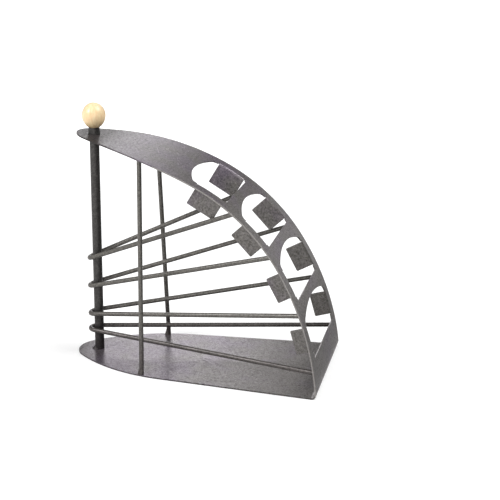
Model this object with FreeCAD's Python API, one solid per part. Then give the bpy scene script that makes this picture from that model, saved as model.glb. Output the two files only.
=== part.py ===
import FreeCAD, Part
import math
import os
from FreeCAD import Vector

# A free-standing rack of bent sheet and wire, in millimetres.
# One pierced sheet is folded from a flat base, up a curved front panel and back into a
# sloping top plate. A post with a wooden ball joins the two plates at the rear, two thin
# rods join them at the sides, and four hairpin wires run from round the post to the front
# panel, one below each window. The front faces -Y, +Z is up, and the origin is on the
# underside of the base, halfway along its length.
#
# Places along the holder are stations: distances in front of the post's axis.

# Sheet
SHEET = 1.2                  # thickness
BASE_LENGTH = 228.0          # rear tip to the face of the front fold
POST_SETBACK = 18.6          # post's axis to the base's rear tip
FOLD_RADIUS = 4.5            # outside of the front fold
FOLD_LEAN = 6.3              # lean of the panel just above the fold, degrees
LOWER_RADIUS = 240.0         # the panel's three curves, outside face
LOWER_TURN = 25.7
MIDDLE_RADIUS = 176.5
MIDDLE_TURN = 33.6
UPPER_RADIUS = 311.0
UPPER_TURN = 16.2
TAIL_LENGTH = 28.5           # straight end of the top plate

# Outlines of the base and the top plate, seen from above
FOLD_HALF_WIDTH = 63.5
BASE_LEAF_STATION = 72.0     # where the base's straight sides end
BASE_LEAF_HALF_WIDTH = 53.3
BASE_NOSE_RADIUS = 23.0
TOP_LEAF_STATION = 104.3     # the same for the panel, in front of the top plate's tip
TOP_LEAF_HALF_WIDTH = 48.5
TOP_NOSE_RADIUS = 22.0

# Windows in the front panel, measured along its face
WINDOW_COUNT = 4
FIRST_WINDOW = 25.8          # top of the fold to the lowest window
WINDOW_PITCH = 50.8
WINDOW_HEIGHT = 41.4         # to the crown of its arch
WINDOW_MARGIN = 12.6         # window's side to the panel's side edge, at mid height
WINDOW_ARCH_RISE = 8.6       # crown above the ends of the arch
WINDOW_SHOULDER_RADIUS = 5.0
WINDOW_SILL_RADIUS = 1.2

# Ears bent back from both sides of each window
EAR_RISE = 6.3               # sill to the lower end of the lowest ear
EAR_RISE_DROP = 1.4          # each ear starts this much nearer its sill than the last
EAR_DEPTH = 15.0             # panel's outside face to the ear's free edge
EAR_DEPTH_STEP = 1.7
EAR_CORNER_RADIUS = 1.0
EAR_BEND_RADIUS = 0.7        # inside of the bend
RELIEF_WIDTH = 0.8           # notch at each end of an ear's bend
RELIEF_DEPTH = 2.4

# Post and ball
POST_DIAMETER = 8.3
POST_STUB = 5.5              # post above the top plate
HOLE_CLEARANCE = 0.15
SPIGOT_DIAMETER = 5.6
SPIGOT_LENGTH = 11.0
SPIGOT_CLEARANCE = 0.1
BALL_DIAMETER = 20.2
BALL_STRETCH = 1.11          # height of the full ball over its diameter
BALL_SEAT_DIAMETER = 8.6     # flat under the ball

# Hairpin wires, from the lowest to the highest
WIRE_DIAMETER = 4.0
WIRE_POST_HEIGHTS = (20.8, 36.7, 63.9, 90.5)
WIRE_PANEL_HEIGHTS = (21.8, 69.1, 116.2, 150.0)
WIRE_EDGE_INSET = 4.2        # wire's end to the panel's side edge
WIRE_BEND_RADIUS = 6.6       # of the wire's centre line, round the post
WIRE_REAR_SHIFT = 1.0        # bend's centre behind the post's axis
WIRE_WELD_DIAMETER = 2.4     # spot weld between each leg and the post

# Side rods
ROD_DIAMETER = 4.0
ROD_EDGE_INSET = 2.5         # rod's axis to the plates' side edges
LEFT_ROD_STATIONS = (54.5, 53.1)     # at its foot and at its top
RIGHT_ROD_STATIONS = (51.5, 45.1)

# Weld beads at the feet: how far each stands out outwards and behind, and its height
POST_BEAD = (0.9, 2.7, 2.6)
ROD_BEAD = (0.0, 1.8, 6.5)
BEAD_SPREAD = 0.5            # a bead's foot circle is this much larger than its rod
BEAD_TOP_RISE = 0.1          # how far the top of a bead stands out
COLLAR_BEAD = (0.5, 1.0)     # round the post's stub, at the ball and at the plate

POST_Y = BASE_LENGTH / 2 - POST_SETBACK
FRONT_STATION = BASE_LENGTH - POST_SETBACK
POST_RADIUS = POST_DIAMETER / 2
WIRE_RADIUS = WIRE_DIAMETER / 2
ROD_RADIUS = ROD_DIAMETER / 2
SPARE = 30.0                 # how far cutting solids reach past what they cut
CLOSE = 0.01                 # edges this near to a line are taken to lie on it
CURVES = (
    (LOWER_RADIUS, LOWER_TURN),
    (MIDDLE_RADIUS, MIDDLE_TURN),
    (UPPER_RADIUS, UPPER_TURN),
)


def side_point(station, height, x=0.0):
    """A point from its station, its height and its distance right of the middle."""
    return Vector(x, POST_Y - station, height)


def heading(lean):
    """Direction up the panel where it leans back by this many degrees."""
    angle = math.radians(lean)
    return Vector(0, math.sin(angle), math.cos(angle))


def inward(lean):
    """Direction from the outside face into the sheet, at the same lean."""
    angle = math.radians(lean)
    return Vector(0, math.cos(angle), -math.sin(angle))


def fold_top():
    """Point on the outside face where the front fold ends and the panel starts."""
    fold_centre = side_point(FRONT_STATION - FOLD_RADIUS, FOLD_RADIUS)
    return fold_centre - inward(FOLD_LEAN) * FOLD_RADIUS


def panel_point(run):
    """Point on the outside face, and the lean there, this far up from the fold."""
    point = fold_top()
    lean = FOLD_LEAN
    for radius, turn in CURVES:
        centre = point + inward(lean) * radius
        length = math.radians(turn) * radius
        if run <= length:
            lean += math.degrees(run / radius)
            return centre - inward(lean) * radius, lean
        run -= length
        lean += turn
        point = centre - inward(lean) * radius
    return point + heading(lean) * run, lean


def curves_length():
    return sum(math.radians(turn) * radius for radius, turn in CURVES)


def panel_run_at(station):
    """Distance up the panel's face to the point at a station, found by halving."""
    low = 0.0
    high = curves_length() + TAIL_LENGTH
    while high - low > 1e-7:
        middle = (low + high) / 2
        if POST_Y - panel_point(middle)[0].y > station:
            low = middle
        else:
            high = middle
    return low


def panel_run_at_height(height):
    """Distance up the panel's face to the point at a height, found by halving."""
    low = 0.0
    high = curves_length()
    while high - low > 1e-7:
        middle = (low + high) / 2
        if panel_point(middle)[0].z < height:
            low = middle
        else:
            high = middle
    return low


PLATE_TIP = panel_point(curves_length() + TAIL_LENGTH)[0]
PLATE_TIP_STATION = POST_Y - PLATE_TIP.y
TOP_LEAF_POINT, TOP_LEAF_LEAN = panel_point(panel_run_at(PLATE_TIP_STATION + TOP_LEAF_STATION))
SIDE_TAPER = (FOLD_HALF_WIDTH - TOP_LEAF_HALF_WIDTH) / TOP_LEAF_POINT.z


def panel_half_width(height):
    return FOLD_HALF_WIDTH - SIDE_TAPER * height


def face_path(depth):
    """Edges of the sheet's side view, from the base's rear end over the fold and the
    panel to the end of the top plate, this far below the outside face."""
    rear = Vector(0, BASE_LENGTH / 2, depth)
    fold_centre = side_point(FRONT_STATION - FOLD_RADIUS, FOLD_RADIUS)
    fold_start = Vector(0, fold_centre.y, depth)
    fold_radius = FOLD_RADIUS - depth
    fold_middle = fold_centre - inward((FOLD_LEAN - 90) / 2) * fold_radius
    fold_end = fold_centre - inward(FOLD_LEAN) * fold_radius
    edges = [
        Part.LineSegment(rear, fold_start).toShape(),
        Part.Arc(fold_start, fold_middle, fold_end).toShape(),
    ]
    lean = FOLD_LEAN
    point = fold_top()
    start = fold_end
    for radius, turn in CURVES:
        centre = point + inward(lean) * radius
        middle = centre - inward(lean + turn / 2) * (radius - depth)
        lean += turn
        end = centre - inward(lean) * (radius - depth)
        edges.append(Part.Arc(start, middle, end).toShape())
        point = centre - inward(lean) * radius
        start = end
    edges.append(Part.LineSegment(start, start + heading(lean) * TAIL_LENGTH).toShape())
    return edges


def path_end(edges, last):
    """First or last point of a path built in order."""
    vertex = edges[-1].Vertexes[-1] if last else edges[0].Vertexes[0]
    return vertex.Point


def across(wire, half_width):
    """Solid of a side view's closed wire, reaching this far each side of the middle."""
    solid = Part.Face(wire).extrude(Vector(2 * half_width, 0, 0))
    solid.translate(Vector(-half_width, 0, 0))
    return solid


def folded_band():
    """The folded sheet at full width, before its outline is cut."""
    outer = face_path(0.0)
    inner = face_path(SHEET)
    caps = [
        Part.LineSegment(path_end(outer, True), path_end(inner, True)).toShape(),
        Part.LineSegment(path_end(inner, False), path_end(outer, False)).toShape(),
    ]
    wire = Part.Wire(Part.__sortEdges__(outer + inner + caps))
    return across(wire, FOLD_HALF_WIDTH + SPARE)


def space_inside(depth):
    """Everything between base, panel and top plate, from this depth in the sheet."""
    path = face_path(depth)
    plate_end = path_end(path, True)
    base_end = path_end(path, False)
    behind = max(plate_end.y, base_end.y) + SPARE
    lean = FOLD_LEAN + sum(turn for radius, turn in CURVES)
    reach = (behind - plate_end.y) / math.sin(math.radians(lean))
    top = plate_end + heading(lean) * reach
    bottom = Vector(0, behind, base_end.z)
    closing = [
        Part.LineSegment(plate_end, top).toShape(),
        Part.LineSegment(top, bottom).toShape(),
        Part.LineSegment(bottom, base_end).toShape(),
    ]
    wire = Part.Wire(Part.__sortEdges__(path + closing))
    return across(wire, FOLD_HALF_WIDTH + SPARE)


def side_waste():
    """Slab cut from beside the panel's right side, to leave its tapered edge."""
    bottom = -SPARE
    top = PLATE_TIP.z + SPARE
    reach = panel_half_width(bottom) + 2 * SPARE
    corners = [
        Vector(panel_half_width(bottom), -BASE_LENGTH, bottom),
        Vector(panel_half_width(top), -BASE_LENGTH, top),
        Vector(reach, -BASE_LENGTH, top),
        Vector(reach, -BASE_LENGTH, bottom),
    ]
    face = Part.Face(Part.makePolygon(corners + corners[:1]))
    return face.extrude(Vector(0, 2 * BASE_LENGTH, 0))


def upright_slab(start, end):
    """Slab between two distances right of the middle, higher and longer than the panel."""
    corner = Vector(start, -BASE_LENGTH, -SPARE)
    return Part.makeBox(end - start, 2 * BASE_LENGTH, PLATE_TIP.z + 2 * SPARE, corner)


def mirrored(shape):
    return shape.mirror(Vector(0, 0, 0), Vector(1, 0, 0))


def flipped(point):
    return Vector(-point.x, point.y, point.z)


class Leaf:
    """Leaf-shaped rear end of a plate, seen from above. Its side arcs leave the straight
    sides at a station and a slope, and meet a round nose at the tip."""

    def __init__(self, station, half_width, slope, tip, nose_radius):
        angle = math.atan(slope)
        length = station - (tip + nose_radius)
        self.station = station
        self.half_width = half_width
        self.slope = slope
        self.tip = tip
        self.nose_station = tip + nose_radius
        self.side_radius = (length ** 2 + half_width ** 2 - nose_radius ** 2) / (
            2 * (half_width * math.cos(angle) - length * math.sin(angle) - nose_radius))
        self.side_station = station + self.side_radius * math.sin(angle)
        self.side_x = half_width - self.side_radius * math.cos(angle)

    def half_width_at(self, station):
        """Half width at a station in front of the nose."""
        if station > self.station:
            return self.half_width + self.slope * (station - self.station)
        drop = self.side_station - station
        return self.side_x + math.sqrt(self.side_radius ** 2 - drop ** 2)

    def face(self, height):
        """The outline behind the straight sides, as a face at a height."""
        nose = side_point(self.nose_station, height)
        start = side_point(self.station, height, self.half_width)
        centre = side_point(self.side_station, height, self.side_x)
        touch = centre + (nose - centre).normalize() * self.side_radius
        bulge = centre + ((start - centre) + (touch - centre)).normalize() * self.side_radius
        end = side_point(self.tip, height)
        edges = [
            Part.Arc(start, bulge, touch).toShape(),
            Part.Arc(touch, end, flipped(touch)).toShape(),
            Part.Arc(flipped(touch), flipped(bulge), flipped(start)).toShape(),
            Part.LineSegment(flipped(start), start).toShape(),
        ]
        return Part.Face(Part.Wire(edges))

    def waste(self, bottom, top):
        """What is cut from a plate between two heights to leave the leaf shape."""
        leaf = self.face(bottom).extrude(Vector(0, 0, top - bottom))
        reach = FOLD_HALF_WIDTH + SPARE
        length = self.station - self.tip + SPARE
        corner = side_point(self.station, bottom, -reach)
        return Part.makeBox(2 * reach, length, top - bottom, corner).cut(leaf)


def base_leaf():
    slope = (FOLD_HALF_WIDTH - BASE_LEAF_HALF_WIDTH) / (FRONT_STATION - BASE_LEAF_STATION)
    return Leaf(BASE_LEAF_STATION, BASE_LEAF_HALF_WIDTH, slope, -POST_SETBACK,
                BASE_NOSE_RADIUS)


def top_leaf():
    slope = SIDE_TAPER / math.tan(math.radians(TOP_LEAF_LEAN))
    station = PLATE_TIP_STATION + TOP_LEAF_STATION
    return Leaf(station, TOP_LEAF_HALF_WIDTH, slope, PLATE_TIP_STATION, TOP_NOSE_RADIUS)


def base_side_waste():
    """Wedge cut from the base's right side, so that it narrows towards the rear."""
    front = POST_Y - FRONT_STATION
    rear = POST_Y - BASE_LEAF_STATION
    reach = FOLD_HALF_WIDTH + SPARE
    corners = [
        Vector(FOLD_HALF_WIDTH, front, -SPARE),
        Vector(BASE_LEAF_HALF_WIDTH, rear, -SPARE),
        Vector(reach, rear, -SPARE),
        Vector(reach, front, -SPARE),
    ]
    face = Part.Face(Part.makePolygon(corners + corners[:1]))
    return face.extrude(Vector(0, 0, SPARE + FOLD_RADIUS))


def window_half_width(run):
    """Half the width of the window whose sill lies this far up the panel's face."""
    middle, lean = panel_point(run + WINDOW_HEIGHT / 2)
    return panel_half_width(middle.z) - WINDOW_MARGIN


def window_runs():
    return [FIRST_WINDOW + index * WINDOW_PITCH for index in range(WINDOW_COUNT)]


def arch_radius(half):
    """Radius of the arch over a window of this half width."""
    return (half ** 2 + WINDOW_ARCH_RISE ** 2) / (2 * WINDOW_ARCH_RISE)


def side_rise(half):
    """Height above the sill at which the window's straight sides end."""
    radius = arch_radius(half)
    across_shoulder = half - WINDOW_SHOULDER_RADIUS
    inner = radius - WINDOW_SHOULDER_RADIUS
    return WINDOW_HEIGHT - radius + math.sqrt(inner ** 2 - across_shoulder ** 2)


def window_cutter(run):
    """Arched opening whose sill lies this far up the panel's face."""
    origin, lean = panel_point(run + WINDOW_HEIGHT / 2)
    up = heading(lean)
    into = inward(lean)

    def at(x, rise):
        return origin + Vector(x, 0, 0) + up * (rise - WINDOW_HEIGHT / 2) - into * SPARE / 2

    half = window_half_width(run)
    sill = WINDOW_SILL_RADIUS
    shoulder = WINDOW_SHOULDER_RADIUS
    arch = arch_radius(half)
    arch_centre = WINDOW_HEIGHT - arch
    shoulder_x = half - shoulder
    shoulder_rise = side_rise(half)
    reach = arch / (arch - shoulder)
    touch_x = shoulder_x * reach
    touch_rise = arch_centre + (shoulder_rise - arch_centre) * reach
    turn = math.atan2(touch_rise - shoulder_rise, touch_x - shoulder_x) / 2
    bend_x = shoulder_x + shoulder * math.cos(turn)
    bend_rise = shoulder_rise + shoulder * math.sin(turn)
    corner = sill * (1 - math.sqrt(0.5))
    edges = [
        Part.LineSegment(at(-half + sill, 0), at(half - sill, 0)).toShape(),
        Part.Arc(at(half - sill, 0), at(half - corner, corner), at(half, sill)).toShape(),
        Part.LineSegment(at(half, sill), at(half, shoulder_rise)).toShape(),
        Part.Arc(at(half, shoulder_rise), at(bend_x, bend_rise),
                 at(touch_x, touch_rise)).toShape(),
        Part.Arc(at(touch_x, touch_rise), at(0, WINDOW_HEIGHT),
                 at(-touch_x, touch_rise)).toShape(),
        Part.Arc(at(-touch_x, touch_rise), at(-bend_x, bend_rise),
                 at(-half, shoulder_rise)).toShape(),
        Part.LineSegment(at(-half, shoulder_rise), at(-half, sill)).toShape(),
        Part.Arc(at(-half, sill), at(-half + corner, corner), at(-half + sill, 0)).toShape(),
    ]
    return Part.Face(Part.Wire(edges)).extrude(into * SPARE)


def ear_block(run, length, depth):
    """Side view of one ear with its two free corners rounded, made into a block that
    spans the holder and starts outside the panel's face."""
    origin, lean = panel_point(run)
    up = heading(lean)
    into = inward(lean)
    half = length / 2
    bend = EAR_CORNER_RADIUS
    corner = bend * (1 - math.sqrt(0.5))
    outside = -SPARE / 3

    def at(rise, drop):
        return origin + up * rise + into * drop

    edges = [
        Part.LineSegment(at(-half, outside), at(-half, depth - bend)).toShape(),
        Part.Arc(at(-half, depth - bend), at(-half + corner, depth - corner),
                 at(-half + bend, depth)).toShape(),
        Part.LineSegment(at(-half + bend, depth), at(half - bend, depth)).toShape(),
        Part.Arc(at(half - bend, depth), at(half - corner, depth - corner),
                 at(half, depth - bend)).toShape(),
        Part.LineSegment(at(half, depth - bend), at(half, outside)).toShape(),
        Part.LineSegment(at(half, outside), at(-half, outside)).toShape(),
    ]
    return across(Part.Wire(edges), FOLD_HALF_WIDTH + SPARE)


def relief_block(run, start, end):
    """Slot through the panel between two distances from a point on its face."""
    origin, lean = panel_point(run)
    up = heading(lean)
    into = inward(lean)
    outside = origin - into * SHEET
    inside = origin + into * (SHEET + EAR_BEND_RADIUS + SHEET)
    corners = [outside + up * start, outside + up * end, inside + up * end, inside + up * start]
    wire = Part.Wire(Part.makePolygon(corners + corners[:1]))
    return across(wire, FOLD_HALF_WIDTH + SPARE)


def bend_edges(shape, x, depth, run, length):
    """The shape's edges at this x that run up the panel this deep in the sheet, within a
    length whose middle is this far up the face."""
    path = Part.Wire(Part.__sortEdges__(face_path(depth)))
    point, lean = panel_point(run)
    centre = point + inward(lean) * depth
    found = []
    for edge in shape.Edges:
        middle = edge.valueAt((edge.FirstParameter + edge.LastParameter) / 2)
        places = [middle] + [vertex.Point for vertex in edge.Vertexes]
        if max(abs(place.x - x) for place in places) > CLOSE:
            continue
        flat = Vector(0, middle.y, middle.z)
        near = flat.distanceToPoint(centre) < length / 2
        if near and path.distToShape(Part.Vertex(flat))[0] < CLOSE:
            found.append(edge)
    return found


def ear_sizes():
    """For each window, half its width, and its ears' middle up the face, length and depth."""
    for index, sill in enumerate(window_runs()):
        half_width = window_half_width(sill)
        start = EAR_RISE - index * EAR_RISE_DROP
        end = side_rise(half_width) - 2 * RELIEF_WIDTH
        depth = EAR_DEPTH + index * EAR_DEPTH_STEP
        yield half_width, sill + (start + end) / 2, end - start, depth


def sheet_frame():
    """The folded sheet with its leaf-shaped plates, windows and ears."""
    sides = side_waste()
    base_side = base_side_waste()
    shape = folded_band()
    for waste in (
        sides,
        mirrored(sides),
        base_side,
        mirrored(base_side),
        base_leaf().waste(-SPARE, FOLD_RADIUS),
        top_leaf().waste(TOP_LEAF_POINT.z - SPARE, PLATE_TIP.z + SPARE),
    ):
        shape = shape.cut(waste)
    for run in window_runs():
        shape = shape.cut(window_cutter(run))
    hole_radius = POST_RADIUS + HOLE_CLEARANCE
    hole_bottom = Vector(0, POST_Y, FOLD_RADIUS)
    shape = shape.cut(Part.makeCylinder(hole_radius, PLATE_TIP.z + SPARE, hole_bottom))
    return with_ears(shape)


def with_ears(shape):
    """Adds the ears on both sides of each window, with a notch at each end of every
    bend, and rounds the bends."""
    behind_face = space_inside(0.0)
    for half_width, run, length, depth in ear_sizes():
        blank = ear_block(run, length, depth).common(behind_face)
        ear = blank.common(upright_slab(half_width, half_width + SHEET))
        shape = shape.fuse(ear).fuse(mirrored(ear))
        end = length / 2
        notch_slab = upright_slab(half_width - RELIEF_DEPTH, half_width + RELIEF_DEPTH)
        for low, high in ((end, end + RELIEF_WIDTH), (-end - RELIEF_WIDTH, -end)):
            notch = relief_block(run, low, high).common(notch_slab)
            shape = shape.cut(notch).cut(mirrored(notch))
    shape = shape.removeSplitter()
    for half_width, run, length, depth in ear_sizes():
        for side in (1, -1):
            inner = bend_edges(shape, side * (half_width + SHEET), SHEET, run, length)
            shape = shape.makeFillet(EAR_BEND_RADIUS, inner)
            outer = bend_edges(shape, side * half_width, 0.0, run, length)
            shape = shape.makeFillet(EAR_BEND_RADIUS + SHEET, outer)
    return shape


def foot_bead(radius, bead, foot, side):
    """Weld bead at a rod's foot: a steep cone set off from the rod's axis, so that it
    shows mostly behind. Side is 1 on the right and -1 on the left."""
    outwards, behind, height = bead
    foot_radius = radius + BEAD_SPREAD
    shift = Vector(side * (outwards - BEAD_SPREAD), behind - BEAD_SPREAD, 0)
    top_radius = radius + BEAD_TOP_RISE - shift.Length
    return Part.makeCone(foot_radius, top_radius, height, foot + shift)


def plate_top_at_post():
    return panel_point(panel_run_at(0.0))[0].z


def ball_seat():
    return plate_top_at_post() + POST_STUB


def back_post():
    """Rod from the base through the top plate, with a spigot for the ball, and the weld
    beads at its foot and on the plate."""
    foot = Vector(0, POST_Y, SHEET)
    seat = ball_seat()
    post = Part.makeCylinder(POST_RADIUS, seat - SHEET, foot)
    spigot = Part.makeCylinder(SPIGOT_DIAMETER / 2, SPIGOT_LENGTH, Vector(0, POST_Y, seat))
    at_ball, at_plate = COLLAR_BEAD
    flare = (at_plate - at_ball) / POST_STUB
    depth = 2 * POST_STUB
    collar = Part.makeCone(POST_RADIUS + at_ball + flare * depth, POST_RADIUS + at_ball, depth,
                           Vector(0, POST_Y, seat - depth))
    collar = collar.cut(space_inside(0.0))
    bead = foot_bead(POST_RADIUS, POST_BEAD, foot, -1)
    return post.fuse(spigot).fuse(collar).fuse(bead).removeSplitter()


def ball_finial():
    """Turned wooden ball, taller than it is wide, with a flat seat and a blind hole for
    the post's spigot."""
    seat = Vector(0, POST_Y, ball_seat())
    radius = BALL_DIAMETER / 2
    cut_height = math.sqrt(radius ** 2 - (BALL_SEAT_DIAMETER / 2) ** 2)
    stretch = FreeCAD.Matrix()
    stretch.scale(1, 1, BALL_STRETCH)
    ball = Part.makeSphere(radius).transformGeometry(stretch)
    ball.translate(seat + Vector(0, 0, cut_height * BALL_STRETCH))
    below = Part.makeCylinder(BALL_DIAMETER, BALL_DIAMETER, seat, Vector(0, 0, -1))
    bore = SPIGOT_DIAMETER / 2 + SPIGOT_CLEARANCE
    hole = Part.makeCylinder(bore, SPIGOT_LENGTH + SPIGOT_CLEARANCE, seat)
    return ball.cut(below).cut(hole)


def wire_loop(post_height, panel_height, trim):
    """Hairpin round the back of the post, whose legs run apart to the panel's sides and
    end against the back of the sheet. A spot weld holds each leg to the post."""
    point, lean = panel_point(panel_run_at_height(panel_height))
    end_station = POST_Y - (point + inward(lean) * SHEET).y
    end_x = panel_half_width(panel_height) - WIRE_EDGE_INSET
    slope = math.atan2(panel_height - post_height, end_station)
    forward = Vector(0, -math.cos(slope), math.sin(slope))
    post_point = Vector(0, POST_Y, post_height)
    bend_centre = post_point - forward * WIRE_REAR_SHIFT
    end_length = end_station / math.cos(slope) + WIRE_REAR_SHIFT
    distance = math.hypot(end_length, end_x)
    spread = math.atan2(end_x, end_length) - math.asin(WIRE_BEND_RADIUS / distance)
    right = Vector(1, 0, 0)
    leg = forward * math.cos(spread) + right * math.sin(spread)
    side = right * math.cos(spread) - forward * math.sin(spread)
    touch = bend_centre + side * WIRE_BEND_RADIUS
    leg_length = math.sqrt(distance ** 2 - WIRE_BEND_RADIUS ** 2) + SPARE / 3
    end = touch + leg * leg_length
    rear = bend_centre - forward * WIRE_BEND_RADIUS
    path = Part.Wire([
        Part.LineSegment(end, touch).toShape(),
        Part.Arc(touch, rear, flipped(touch)).toShape(),
        Part.LineSegment(flipped(touch), flipped(end)).toShape(),
    ])
    section = Part.Wire([Part.makeCircle(WIRE_RADIUS, end, leg)])
    wire = path.makePipeShell([section], True, True).common(trim)
    beside_post = touch + leg * (post_point - touch).dot(leg)
    reach = beside_post.distanceToPoint(post_point)
    weld = Part.makeCylinder(WIRE_WELD_DIAMETER / 2, reach, beside_post, side * -1)
    post = Part.makeCylinder(POST_RADIUS, 2 * SPARE, post_point - Vector(0, 0, SPARE))
    weld = weld.cut(post)
    return wire.fuse(weld).fuse(mirrored(weld)).removeSplitter()


def side_rod(side, stations, trim):
    """Thin rod from the base to the underside of the top plate, with its weld bead."""
    foot_station, top_station = stations
    foot_x = base_leaf().half_width_at(foot_station) - ROD_EDGE_INSET
    foot = side_point(foot_station, SHEET, side * foot_x)
    above, lean = panel_point(panel_run_at(top_station))
    underside = above + inward(lean) * SHEET
    top_x = top_leaf().half_width_at(top_station) - ROD_EDGE_INSET
    top = Vector(side * top_x, underside.y, underside.z)
    axis = (top - foot).normalize()
    length = (top - foot).Length
    start = foot - axis * ROD_DIAMETER
    rod = Part.makeCylinder(ROD_RADIUS, length + 2 * ROD_DIAMETER, start, axis)
    bead = foot_bead(ROD_RADIUS, ROD_BEAD, foot, side)
    return rod.fuse(bead).common(trim).removeSplitter()


def build():
    inside = space_inside(SHEET)
    parts = {
        "sheet_frame": sheet_frame(),
        "back_post": back_post(),
        "ball_finial": ball_finial(),
        "side_rod_left": side_rod(-1, LEFT_ROD_STATIONS, inside),
        "side_rod_right": side_rod(1, RIGHT_ROD_STATIONS, inside),
    }
    heights = zip(WIRE_POST_HEIGHTS, WIRE_PANEL_HEIGHTS)
    for number, (post_height, panel_height) in enumerate(heights, start=1):
        parts["wire_loop_%d" % number] = wire_loop(post_height, panel_height, inside)
    return parts


def main():
    os.makedirs("parts", exist_ok=True)
    for name, shape in build().items():
        solids = shape.Solids
        if len(solids) != 1 or not shape.isValid():
            raise ValueError("%s is not one sound solid" % name)
        solids[0].exportStep("parts/%s.step" % name)
        box = solids[0].BoundBox
        print("%-16s volume %9.1f  x %7.2f %7.2f  y %8.2f %8.2f  z %7.2f %7.2f" % (
            name, solids[0].Volume, box.XMin, box.XMax, box.YMin, box.YMax, box.ZMin, box.ZMax))


main()
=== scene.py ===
import math
from typing import NamedTuple

import bpy
from mathutils import Matrix, Vector


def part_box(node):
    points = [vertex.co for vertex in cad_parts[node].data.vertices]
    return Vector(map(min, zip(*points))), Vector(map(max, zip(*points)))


# The look of a free-standing holder: a folded, windowed sheet, a rear post with a wooden
# ball, two side rods and four hairpin wires. All the metal has a mottled graphite coat.
# Lengths are in metres in the part's own frame: the front faces -Y and +Z is up. Colours
# are linear.

MM = 0.001
UP = Vector((0, 0, 1))
WHITE = (1.0, 1.0, 1.0)

# Camera, with its angles in degrees and its aim measured from the post's axis
CAMERA_AZIMUTH = -77.82
CAMERA_ELEVATION = 17.47
CAMERA_ROLL = 0.73
CAMERA_DISTANCE = 1.063
CAMERA_AIM = (0.0106, -0.1361, 0.1020)
CAMERA_LENS = 87.98          # mm, as is the sensor's width
CAMERA_SENSOR = 36.0
CAMERA_CLIP = (0.05, 50.0)

# Studio
WORLD_LEVEL = 0.22           # light from all round on rough surfaces
BACKDROP_LEVEL = 1.0         # what the camera and reflections see
FLOOR_RADIUS = 9.0
FLOOR_SIDES = 64
FLOOR_COLOUR = (0.88, 0.88, 0.88)
FLOOR_GLOW = (0.16, 1.0)     # near and far: keeps the floor white and its shadow soft
FLOOR_REACH = (0.5, 2.0)     # how far out the glow starts to grow, and where it is full

# Lamps: place, size and power, all aimed at the middle of the holder
LAMP_AIM = (0.0, 0.0, 0.1)
LAMPS = {
    "key": ((-1.00, 1.15, 1.30), 0.8, 30.0),
    "top": ((0.10, -0.80, 1.45), 1.0, 22.0),
    "fill": ((-1.70, -0.20, 0.60), 1.1, 7.0),
    "back": ((1.05, 0.34, 0.36), 0.50, 1.45),
}

# Grey cards that only reflections see: two opposite corners, and a level from 0 for black
# to 1 for white
CARDS = {
    "front_floor_card": ((-1.6, -1.2, 0.001), (0.5, -0.117, 0.001), 0.34),
    "far_floor_card": ((0.5, -1.2, 0.001), (1.6, -0.117, 0.001), 0.50),
    "front_wall_card": ((-1.6, -1.2, 0.0), (1.6, -1.2, 1.3), 0.08),
    "front_side_card": ((1.2, -1.2, 0.0), (1.2, -0.28, 0.8), 0.80),
    "side_low_card": ((1.2, -0.28, 0.0), (1.2, 0.24, 0.52), 0.04),
    "side_high_card": ((1.2, -0.28, 0.52), (1.2, 0.24, 1.4), 0.32),
    "rear_wall_card": ((1.2, 0.56, 0.0), (1.2, 1.6, 1.4), 0.06),
}


class Coat(NamedTuple):
    """What sets one coat apart. The three colours are those of its mottle."""

    dark: tuple
    middle: tuple
    light: tuple
    roughness: float
    bumps: float             # their strength
    specular: float


SHEET_COAT = Coat((0.070, 0.066, 0.066), (0.096, 0.091, 0.091), (0.128, 0.121, 0.122),
                  roughness=0.31, bumps=0.9, specular=0.5)
ROD_COAT = Coat((0.056, 0.053, 0.046), (0.090, 0.086, 0.076), (0.124, 0.118, 0.105),
                roughness=0.36, bumps=0.3, specular=0.45)
# Painted shade: the post has the same graphite coat as the other metal, painted darker and
# less shiny
POST_COAT_PAINTED_DARKER = Coat((0.029, 0.028, 0.026), (0.044, 0.042, 0.040), (0.062, 0.060, 0.056),
                 roughness=0.42, bumps=0.3, specular=0.25)

# Every coat. Here and below, a constant that ends in _FROM is the range of the noise, or of
# what its comment names, that is stretched to a range of results.
METALLIC = 0.35
SHEEN_TINT = (1.0, 0.95, 1.0, 1.0)
MOTTLE_SIZE = 2.2 * MM
MOTTLE_STOPS = (0.30, 0.50, 0.72)        # of the dark, middle and light colour
ROUGHNESS_FROM = (0.3, 0.7)
ROUGHNESS_CHANGE = (0.07, -0.05)         # in the dark and light spots of the mottle
SPECKLE_SIZE = 1.2 * MM
SPECKLE_STOPS = (0.36, 0.64)
SPECKLE_DARK = (0.74, 0.74, 0.74)
SPECKLE_LIGHT = (1.24, 1.24, 1.24)
SPECKLE_SHARE = 0.9
HAMMER_SIZE, HAMMER_DEPTH = 2.4 * MM, 0.04 * MM
PEEL_SIZE, PEEL_DEPTH = 1.1 * MM, 0.08 * MM

# Paint worn lighter in patches along the edges
WORN_COLOUR = (0.26, 0.25, 0.26)
WORN_RADIUS = 0.35 * MM
WORN_FROM = (0.999, 0.90)                # cosine of the rounded normal to the real one
BEVEL_SAMPLES = 6
SCUFF_SIZE = 2.5 * MM
SCUFF_FROM = (0.50, 0.75)
SCUFF_SHARE = 0.7

# Painted shade: rods, wires and post are painted darker and a little purple close to the
# base
LOW_SHADE_TINT = (0.60, 0.55, 0.58)
LOW_FROM = (0.016, 0.050)                # height

# The sheet's tint drifts in large patches, from warm at the front to lavender at the rear
WARM_TINT = (1.02, 1.01, 0.93)
LAVENDER_TINT = (1.06, 0.95, 1.15)
DRIFT_SIZE = 30 * MM
DRIFT_STOPS = (0.36, 0.62)
DRIFT_FROM = (-0.06, 0.05)               # Y
DRIFT_SHIFT = (-0.16, 0.10)              # what is added to the noise there
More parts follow.
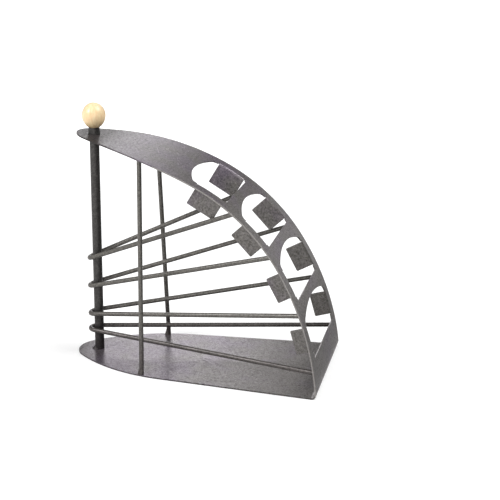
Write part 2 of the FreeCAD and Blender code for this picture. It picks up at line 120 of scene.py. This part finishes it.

# Cut edges of the sheet: painted shade darkens them round the base, and a painted highlight
# lightens them at the front panel's two sides
BASE_EDGE_SHADE = (0.45, 0.45, 0.45)
BASE_EDGE_TOP = 1.5 * MM                 # height, just over the base's upper face
UPRIGHT = 0.5                            # the normal's Z on an upright face is less
PANEL_EDGE_HIGHLIGHT = (0.19, 0.18, 0.17)
PANEL_EDGE_FOOT = 3.0 * MM               # height
SIDEWAYS = 0.9                           # the normal's X on a side face is more
PANEL_EDGE_FROM = (0.08, 0.12)           # height
PANEL_EDGE_START = (0.051, 0.046)        # out from the middle there, clear of the ears

# Flecks in the sheet's shine
FLECK_SIZE = 1.9 * MM
FLECK_FROM = (0.36, 0.64)
FLECK_SHARES = (0.1, 1.9)                # of the coat's specular level

# Painted shade: the sheet's coat is painted darker, with less shine, towards the rear tips
# of its two plates
TOP_TIP_FROM = (0.035, 0.085)            # Y
BASE_TIP_FROM = (0.090, 0.116)
BETWEEN_PLATES = 0.1                     # height
TIP_SHADE_COLOUR = (0.040, 0.036, 0.035)
TIP_SHADE_SHINE_SHARE = 0.06                        # of the specular level
TIP_SHADE_METALLIC = 0.1

# Wood
WOOD_PALE = (0.80, 0.65, 0.40)
WOOD_WARM = (0.74, 0.51, 0.28)
WOOD_STOPS = (0.32, 0.62)
WOOD_FROM = (0.3, 0.7)
WOOD_ROUGHNESS = (0.34, 0.48)
GRAIN_SIZE = 2.6 * MM
GRAIN_SCALE = (1.0, 1.0, 0.16)           # drawn out upwards
GRAIN_TILT = (0.10, 0.06, 0.0)           # radians
FIBRE_SIZE = 0.45 * MM
FIBRE_STOPS = (0.30, 0.60)
FIBRE_DARK = (0.88, 0.84, 0.78)
FIBRE_SHARE = 0.55
FIBRE_BUMP, FIBRE_DEPTH = 0.25, 0.03 * MM
VARNISH = {"Coat Weight": 0.25, "Coat Roughness": 0.25}

# Sockets of Blender's Mix node when it mixes colours
MIX_FACTOR, MIX_A, MIX_B, MIX_RESULT = 0, 6, 7, 2


class Nodes:
    """The node tree of a world or a material, and a short way to fill it."""

    def __init__(self, owner):
        owner.use_nodes = True
        self.tree = owner.node_tree
        self.tree.nodes.clear()

    def put(self, node, socket, value):
        """Sets a constant on a node's socket, or links another node's output to it."""
        if isinstance(value, bpy.types.NodeSocket):
            self.tree.links.new(value, node.inputs[socket])
        else:
            node.inputs[socket].default_value = value

    def add(self, kind, sockets=None, **settings):
        """A new node with these settings, and these values in its sockets."""
        node = self.tree.nodes.new(kind)
        for name, value in settings.items():
            setattr(node, name, value)
        for socket, value in (sockets or {}).items():
            self.put(node, socket, value)
        return node

    def place(self):
        return self.add("ShaderNodeTexCoord").outputs["Object"]

    def span(self, source, ends, results):
        """Maps one range to another, clamped."""
        node = self.add("ShaderNodeMapRange", {
            "From Min": ends[0], "From Max": ends[1],
            "To Min": results[0], "To Max": results[1], "Value": source,
        })
        return node.outputs["Result"]

    def maths(self, operation, first, second=0.0):
        node = self.add("ShaderNodeMath", {0: first, 1: second}, operation=operation)
        return node.outputs["Value"]

    def backdrop_share(self):
        """1 for camera, glossy and transmission rays, otherwise 0."""
        path = self.add("ShaderNodeLightPath")
        share = path.outputs["Is Camera Ray"]
        for name in ("Is Glossy Ray", "Is Transmission Ray"):
            share = self.maths("MAXIMUM", share, path.outputs[name])
        return share


class Shader(Nodes):
    """A material with one Principled shader, and the patterns that feed it."""

    def __init__(self, name):
        self.material = bpy.data.materials.new(name)
        super().__init__(self.material)
        self.principled = self.add("ShaderNodeBsdfPrincipled")
        self.add("ShaderNodeOutputMaterial", {"Surface": self.principled.outputs["BSDF"]})
        self.here = self.place()

    def set(self, socket, value):
        """Sets or feeds one of the Principled shader's own sockets."""
        self.put(self.principled, socket, value)

    def noise(self, size, detail=2.0, roughness=0.5, distortion=0.0, vector=None):
        """Noise whose features are about this size."""
        node = self.add("ShaderNodeTexNoise", {
            "Scale": 1.0 / size, "Detail": detail, "Roughness": roughness,
            "Distortion": distortion, "Vector": self.here if vector is None else vector,
        })
        return node.outputs["Fac"]

    def ramp(self, source, stops, colours):
        """Colours that change with the source, each full at its own stop."""
        node = self.add("ShaderNodeValToRGB", {"Fac": source})
        elements = node.color_ramp.elements
        while len(elements) < len(stops):
            elements.new(0.5)
        for element, stop, colour in zip(elements, stops, colours):
            element.position = stop
            element.color = (*colour, 1.0)
        return node.outputs["Color"]

    def mix(self, factor, first, second, blend="MIX"):
        """Mixes two colours, each an output or a constant."""
        first, second = ((*value, 1.0) if isinstance(value, tuple) else value
                         for value in (first, second))
        sockets = {MIX_FACTOR: factor, MIX_A: first, MIX_B: second}
        node = self.add("ShaderNodeMix", sockets, data_type="RGBA", blend_type=blend)
        return node.outputs[MIX_RESULT]

    def bump(self, height, strength, depth, normal=None):
        sockets = {"Strength": strength, "Distance": depth, "Height": height}
        if normal is not None:
            sockets["Normal"] = normal
        return self.add("ShaderNodeBump", sockets).outputs["Normal"]

    def part(self, vector, axis):
        """One coordinate of a vector."""
        return self.add("ShaderNodeSeparateXYZ", {"Vector": vector}).outputs[axis]

    def along(self, axis):
        """The place on one axis."""
        return self.part(self.here, axis)

    def facing(self, axis):
        """How squarely the surface faces along one axis, either way."""
        normal = self.add("ShaderNodeNewGeometry").outputs["Normal"]
        return self.maths("ABSOLUTE", self.part(normal, axis))

    def bevel(self):
        """Normals rounded over sharp edges, and how near an edge each point is."""
        rounded = self.add("ShaderNodeBevel", {"Radius": WORN_RADIUS}, samples=BEVEL_SAMPLES)
        real = self.add("ShaderNodeNewGeometry")
        cosine = self.add("ShaderNodeVectorMath", {
            0: rounded.outputs["Normal"], 1: real.outputs["Normal"],
        }, operation="DOT_PRODUCT")
        nearness = self.span(cosine.outputs["Value"], WORN_FROM, (0.0, 1.0))
        return rounded.outputs["Normal"], nearness

    def shaded_base_edge(self):
        """1 on the upright cut edges of the flat base, where painted shade darkens them,
        otherwise 0.
        """
        upright = self.maths("LESS_THAN", self.facing("Z"), UPRIGHT)
        low = self.maths("LESS_THAN", self.along("Z"), BASE_EDGE_TOP)
        return self.maths("MULTIPLY", upright, low)

    def highlighted_panel_edge(self):
        """1 on the cut edges at the two sides of the front panel, where a painted highlight
        lightens them, otherwise 0.
        """
        sideways = self.maths("GREATER_THAN", self.facing("X"), SIDEWAYS)
        out = self.maths("ABSOLUTE", self.along("X"))
        start = self.span(self.along("Z"), PANEL_EDGE_FROM, PANEL_EDGE_START)
        outer = self.maths("GREATER_THAN", out, start)
        high = self.maths("GREATER_THAN", self.along("Z"), PANEL_EDGE_FOOT)
        return self.maths("MULTIPLY", self.maths("MULTIPLY", sideways, outer), high)

    def painted_tip_shade(self):
        """0 on most of the sheet, up to 1 at the rear tips of its two plates, where painted
        shade darkens them.
        """
        top, base = (self.span(self.along("Y"), ends, (0.0, 1.0))
                     for ends in (TOP_TIP_FROM, BASE_TIP_FROM))
        high = self.maths("GREATER_THAN", self.along("Z"), BETWEEN_PLATES)
        return self.mix(high, base, top)


def drifting_tint(shader):
    """The sheet's tint."""
    drift = shader.noise(DRIFT_SIZE)
    forward = shader.span(shader.along("Y"), DRIFT_FROM, DRIFT_SHIFT)
    drift = shader.maths("ADD", drift, forward)
    return shader.ramp(drift, DRIFT_STOPS, (WARM_TINT, LAVENDER_TINT))


def painted_low_shade(shader):
    """Painted shade on rods, wires and post: darker and a little purple close to the base.
    """
    raised = shader.span(shader.along("Z"), LOW_FROM, (0.0, 1.0))
    return shader.ramp(raised, (0.0, 1.0), (LOW_SHADE_TINT, WHITE))


def shade_tips_and_fleck_shine(shader, colour, specular):
    """Paints shade on the sheet's coat at its rear tips, darker and with less shine, and
    flecks its shine.
    The constant set before on the specular level stays beneath the link."""
    tip_shade = shader.painted_tip_shade()
    flecks = shader.noise(FLECK_SIZE, detail=2.0, roughness=0.7)
    shine = shader.span(flecks, FLECK_FROM, [share * specular for share in FLECK_SHARES])
    left = shader.span(tip_shade, (0.0, 1.0), (1.0, TIP_SHADE_SHINE_SHARE))
    shader.set("Specular IOR Level", shader.maths("MULTIPLY", shine, left))
    shader.set("Metallic", shader.span(tip_shade, (0.0, 1.0), (METALLIC, TIP_SHADE_METALLIC)))
    return shader.mix(tip_shade, colour, TIP_SHADE_COLOUR)


def coat(name, look, sheet=False):
    """Mottled graphite powder coat: colour that drifts and speckles, hammered dimples and a
    fine orange peel, and paint worn a little lighter along the edges.
    It also paints shade low on rods, wires and post, on the base's cut edges and at the
    sheet's rear tips, and a highlight on the front panel's side edges."""
    shader = Shader(name)
    shader.set("Metallic", METALLIC)
    shader.set("Specular IOR Level", look.specular)
    shader.set("Specular Tint", SHEEN_TINT)

    mottle = shader.noise(MOTTLE_SIZE, detail=3.0, roughness=0.62, distortion=0.2)
    colour = shader.ramp(mottle, MOTTLE_STOPS, (look.dark, look.middle, look.light))
    # On the sheet this is its drifting tint; on rods, wires and post it is painted shade
    # close to the base
    tint = drifting_tint(shader) if sheet else painted_low_shade(shader)
    colour = shader.mix(1.0, colour, tint, "MULTIPLY")
    speckle = shader.noise(SPECKLE_SIZE, detail=1.0)
    grain = shader.ramp(speckle, SPECKLE_STOPS, (SPECKLE_DARK, SPECKLE_LIGHT))
    colour = shader.mix(SPECKLE_SHARE, colour, grain, "MULTIPLY")
    if sheet:
        # Painted shade on the base's upright cut edges
        colour = shader.mix(shader.shaded_base_edge(), colour, BASE_EDGE_SHADE, "MULTIPLY")
        # Painted highlight on the cut edges at the front panel's two sides
        colour = shader.mix(shader.highlighted_panel_edge(), colour, PANEL_EDGE_HIGHLIGHT)

    rounded, nearness = shader.bevel()
    scuffs = shader.noise(SCUFF_SIZE, detail=4.0, roughness=0.7)
    scuffed = shader.span(scuffs, SCUFF_FROM, (0.0, SCUFF_SHARE))
    worn = shader.maths("MULTIPLY", nearness, scuffed)
    colour = shader.mix(worn, colour, WORN_COLOUR)
    if sheet:
        # Painted shade at the rear tips of the sheet's two plates
        colour = shade_tips_and_fleck_shine(shader, colour, look.specular)
    shader.set("Base Color", colour)

    ends = [look.roughness + change for change in ROUGHNESS_CHANGE]
    shader.set("Roughness", shader.span(mottle, ROUGHNESS_FROM, ends))
    hammered = shader.noise(HAMMER_SIZE, detail=1.0)
    dimples = shader.bump(hammered, look.bumps, HAMMER_DEPTH, rounded)
    peel = shader.noise(PEEL_SIZE, detail=0.0)
    shader.set("Normal", shader.bump(peel, look.bumps, PEEL_DEPTH, dimples))
    return shader.material


def wood(name, centre):
    """Pale turned wood with upright grain and a thin satin varnish."""
    shader = Shader(name)
    mapping = shader.add("ShaderNodeMapping", {
        "Scale": GRAIN_SCALE, "Rotation": GRAIN_TILT, "Location": -centre,
        "Vector": shader.here,
    })
    upright = mapping.outputs["Vector"]
    grain = shader.noise(GRAIN_SIZE, detail=4.0, roughness=0.6, distortion=0.8,
                         vector=upright)
    fibres = shader.noise(FIBRE_SIZE, vector=upright)
    colour = shader.ramp(grain, WOOD_STOPS, (WOOD_PALE, WOOD_WARM))
    flecks = shader.ramp(fibres, FIBRE_STOPS, (FIBRE_DARK, WHITE))
    shader.set("Base Color", shader.mix(FIBRE_SHARE, colour, flecks, "MULTIPLY"))
    shader.set("Roughness", shader.span(grain, WOOD_FROM, WOOD_ROUGHNESS))
    shader.set("Normal", shader.bump(fibres, FIBRE_BUMP, FIBRE_DEPTH))
    for socket, value in VARNISH.items():
        shader.set(socket, value)
    return shader.material


def dress(node, material):
    """Gives a node of the frame its material."""
    node.data.materials.clear()
    node.data.materials.append(material)


def make_world():
    """Soft light from all round, where the camera and reflections see white."""
    world = bpy.data.worlds.new("studio")
    bpy.context.scene.world = world
    nodes = Nodes(world)
    soft, white = (
        nodes.add("ShaderNodeBackground", {"Color": (*WHITE, 1.0), "Strength": level})
        for level in (WORLD_LEVEL, BACKDROP_LEVEL))
    both = nodes.add("ShaderNodeMixShader", {
        0: nodes.backdrop_share(),
        1: soft.outputs["Background"],
        2: white.outputs["Background"],
    })
    nodes.add("ShaderNodeOutputWorld", {"Surface": both.outputs["Shader"]})


def make_floor():
    """Pale floor that keeps shadows. Its glow grows outwards, so that it ends in white."""
    bpy.ops.mesh.primitive_circle_add(
        vertices=FLOOR_SIDES, radius=FLOOR_RADIUS, fill_type="NGON")
    floor = bpy.context.object
    floor.name = "floor"
    material = bpy.data.materials.new("floor")
    nodes = Nodes(material)
    out = nodes.add("ShaderNodeVectorMath", {0: nodes.place()}, operation="LENGTH")
    growth = nodes.span(out.outputs["Value"], FLOOR_REACH, FLOOR_GLOW)
    level = nodes.maths("MULTIPLY", nodes.backdrop_share(), growth)
    glow = nodes.add("ShaderNodeEmission", {"Strength": level})
    diffuse = nodes.add("ShaderNodeBsdfDiffuse", {"Color": (*FLOOR_COLOUR, 1.0)})
    total = nodes.add("ShaderNodeAddShader", {
        0: diffuse.outputs["BSDF"], 1: glow.outputs["Emission"],
    })
    nodes.add("ShaderNodeOutputMaterial", {"Surface": total.outputs["Shader"]})
    floor.data.materials.append(material)


def make_card(name, low, high, level):
    """Upright or level card that shapes the reflections. Nothing else sees it."""
    (x0, y0, z0), (x1, y1, z1) = low, high
    if z0 == z1:
        points = [(x0, y0, z0), (x1, y0, z0), (x1, y1, z0), (x0, y1, z0)]
    else:
        points = [(x0, y0, z0), (x1, y1, z0), (x1, y1, z1), (x0, y0, z1)]
    mesh = bpy.data.meshes.new(name)
    mesh.from_pydata(points, [], [(0, 1, 2, 3)])
    card = bpy.data.objects.new(name, mesh)
    bpy.context.scene.collection.objects.link(card)
    material = bpy.data.materials.new(name)
    nodes = Nodes(material)
    glow = nodes.add("ShaderNodeEmission", {"Strength": level})
    nodes.add("ShaderNodeOutputMaterial", {"Surface": glow.outputs["Emission"]})
    mesh.materials.append(material)
    card.visible_camera = False
    card.visible_diffuse = False
    card.visible_transmission = False
    card.visible_shadow = False


def make_lamp(name, place, size, power):
    data = bpy.data.lights.new(name, "AREA")
    data.shape = "DISK"
    data.size = size
    data.energy = power
    lamp = bpy.data.objects.new(name, data)
    bpy.context.scene.collection.objects.link(lamp)
    lamp.location = place
    direction = Vector(LAMP_AIM) - Vector(place)
    lamp.rotation_euler = direction.to_track_quat("-Z", "Y").to_euler()


def make_camera(axis_y):
    """Camera at the photo's angle. The post's axis is at this Y."""
    azimuth, elevation, roll = (
        math.radians(angle) for angle in (CAMERA_AZIMUTH, CAMERA_ELEVATION, CAMERA_ROLL))
    back = Vector((math.sin(azimuth) * math.cos(elevation),
                   -math.cos(azimuth) * math.cos(elevation),
                   math.sin(elevation)))
    level = UP.cross(back).normalized()
    upright = back.cross(level)
    right = level * math.cos(roll) + upright * math.sin(roll)
    up = upright * math.cos(roll) - level * math.sin(roll)
    aim = Vector(CAMERA_AIM) + Vector((0, axis_y, 0))
    data = bpy.data.cameras.new("camera")
    data.lens = CAMERA_LENS
    data.sensor_width = CAMERA_SENSOR
    data.clip_start, data.clip_end = CAMERA_CLIP
    camera = bpy.data.objects.new("camera", data)
    bpy.context.scene.collection.objects.link(camera)
    turn = Matrix((right, up, back)).transposed().to_4x4()
    camera.matrix_world = Matrix.Translation(aim + back * CAMERA_DISTANCE) @ turn
    bpy.context.scene.camera = camera


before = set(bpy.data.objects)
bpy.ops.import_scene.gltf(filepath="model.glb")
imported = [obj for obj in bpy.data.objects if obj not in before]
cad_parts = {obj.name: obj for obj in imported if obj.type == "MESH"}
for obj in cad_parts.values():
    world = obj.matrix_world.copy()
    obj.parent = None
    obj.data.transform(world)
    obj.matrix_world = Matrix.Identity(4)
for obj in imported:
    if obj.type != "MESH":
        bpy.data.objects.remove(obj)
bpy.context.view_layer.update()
ball_low, ball_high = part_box("ball_finial")
ball_centre = (ball_low + ball_high) / 2

bpy.context.scene.view_settings.view_transform = "Standard"
make_world()
make_floor()
for name, (place, size, power) in LAMPS.items():
    make_lamp(name, place, size, power)
for name, (low, high, level) in CARDS.items():
    make_card(name, low, high, level)
make_camera(ball_centre.y)

sheet_coat = coat("sheet_coat", SHEET_COAT, sheet=True)
rod_coat = coat("rod_coat", ROD_COAT)
post_coat_painted_darker = coat("post_coat_painted_darker", POST_COAT_PAINTED_DARKER)
ball_wood = wood("ball_wood", ball_centre)
materials = {
    "sheet_frame": sheet_coat,
    "back_post": post_coat_painted_darker,
    "ball_finial": ball_wood,
}
for name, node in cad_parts.items():
    dress(node, materials.get(name, rod_coat))
